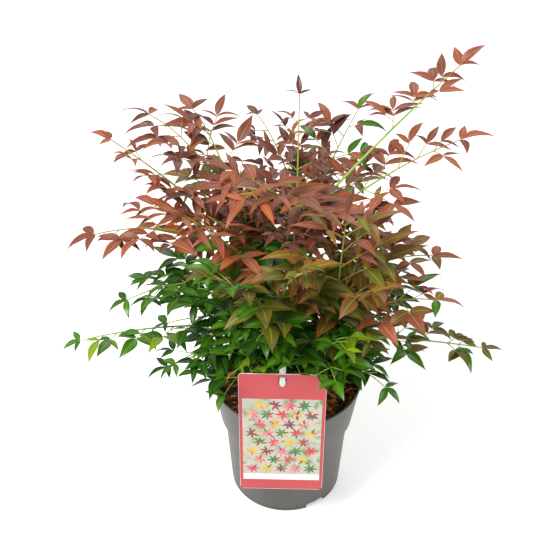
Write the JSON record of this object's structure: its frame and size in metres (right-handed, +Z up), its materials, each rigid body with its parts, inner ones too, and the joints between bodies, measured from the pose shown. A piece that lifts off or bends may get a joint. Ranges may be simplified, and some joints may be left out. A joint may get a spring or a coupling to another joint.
{
  "type": "potted heavenly bamboo",
  "caption": "Bushy heavenly bamboo with red top foliage and green lower foliage, in its round plastic nursery pot with a hanging label card.",
  "frame": {"origin": "centre of the pot's flat underside, which stands on the floor", "axes": "+Z up the pot, the label card faces -Y, +X to the right of someone who looks at the label"},
  "size_m": [0.5418, 0.3945, 0.5745],
  "materials": {
    "pot_plastic": "dark grey injection-moulded plastic, satin",
    "bark_mix": "rough bark and peat mix",
    "printed_card": "printed plastic card, semi-gloss",
    "white_plastic": "white moulded plastic",
    "cane_bark": "young greenish brown bark with leaf scars",
    "stalk_skin": "smooth green stalk skin",
    "red_leaf": "red and red-brown young leaflets",
    "bronze_leaf": "olive bronze leaflets",
    "green_leaf": "glossy green leaflets"
  },
  "bodies": {
    "root": {"pot": "pot_plastic", "potting_mix": "bark_mix", "label_card": "printed_card", "label_stake": "white_plastic", "cane_back": "cane_bark", "cane_front": "cane_bark", "cane_left": "cane_bark", "cane_middle": "cane_bark", "cane_right": "cane_bark", "cane_side": "cane_bark", "stalk_crown_back_right": "stalk_skin", "stalk_crown_left_high": "stalk_skin", "stalk_crown_left_long": "stalk_skin", "stalk_crown_right_long": "stalk_skin", "stalk_crown_right_low": "stalk_skin", "stalk_low_back": "stalk_skin", "stalk_low_back_left": "stalk_skin", "stalk_low_back_right": "stalk_skin", "stalk_low_left": "stalk_skin", "stalk_low_left_high": "stalk_skin", "stalk_low_left_near": "stalk_skin", "stalk_low_right": "stalk_skin", "stalk_middle_back": "stalk_skin", "stalk_middle_back_left": "stalk_skin", "stalk_middle_back_right": "stalk_skin", "stalk_middle_left": "stalk_skin", "spray_crown_back": "red_leaf", "spray_crown_back_left": "red_leaf", "spray_crown_back_right": "red_leaf", "spray_crown_front": "red_leaf", "spray_crown_front_left": "red_leaf", "spray_crown_front_right": "red_leaf", "spray_crown_left": "red_leaf", "spray_crown_left_high": "red_leaf", "spray_crown_left_long": "red_leaf", "spray_crown_right_long": "red_leaf", "spray_crown_right_low": "red_leaf", "spray_low_back": "green_leaf", "spray_low_back_left": "green_leaf", "spray_low_back_right": "green_leaf", "spray_low_front": "green_leaf", "spray_low_front_bright": "green_leaf", "spray_low_front_dark": "green_leaf", "spray_low_front_left": "green_leaf", "spray_low_front_right": "green_leaf", "spray_low_left": "green_leaf", "spray_low_left_high": "green_leaf", "spray_low_left_near": "green_leaf", "spray_low_right": "green_leaf", "spray_middle_back": "bronze_leaf", "spray_middle_back_left": "bronze_leaf", "spray_middle_back_right": "bronze_leaf", "spray_middle_front": "bronze_leaf", "spray_middle_front_bright": "bronze_leaf", "spray_middle_front_left": "bronze_leaf", "spray_middle_front_right": "bronze_leaf", "spray_middle_left": "bronze_leaf", "spray_middle_right": "bronze_leaf", "spray_middle_right_high": "bronze_leaf"}
  },
  "joints": []
}
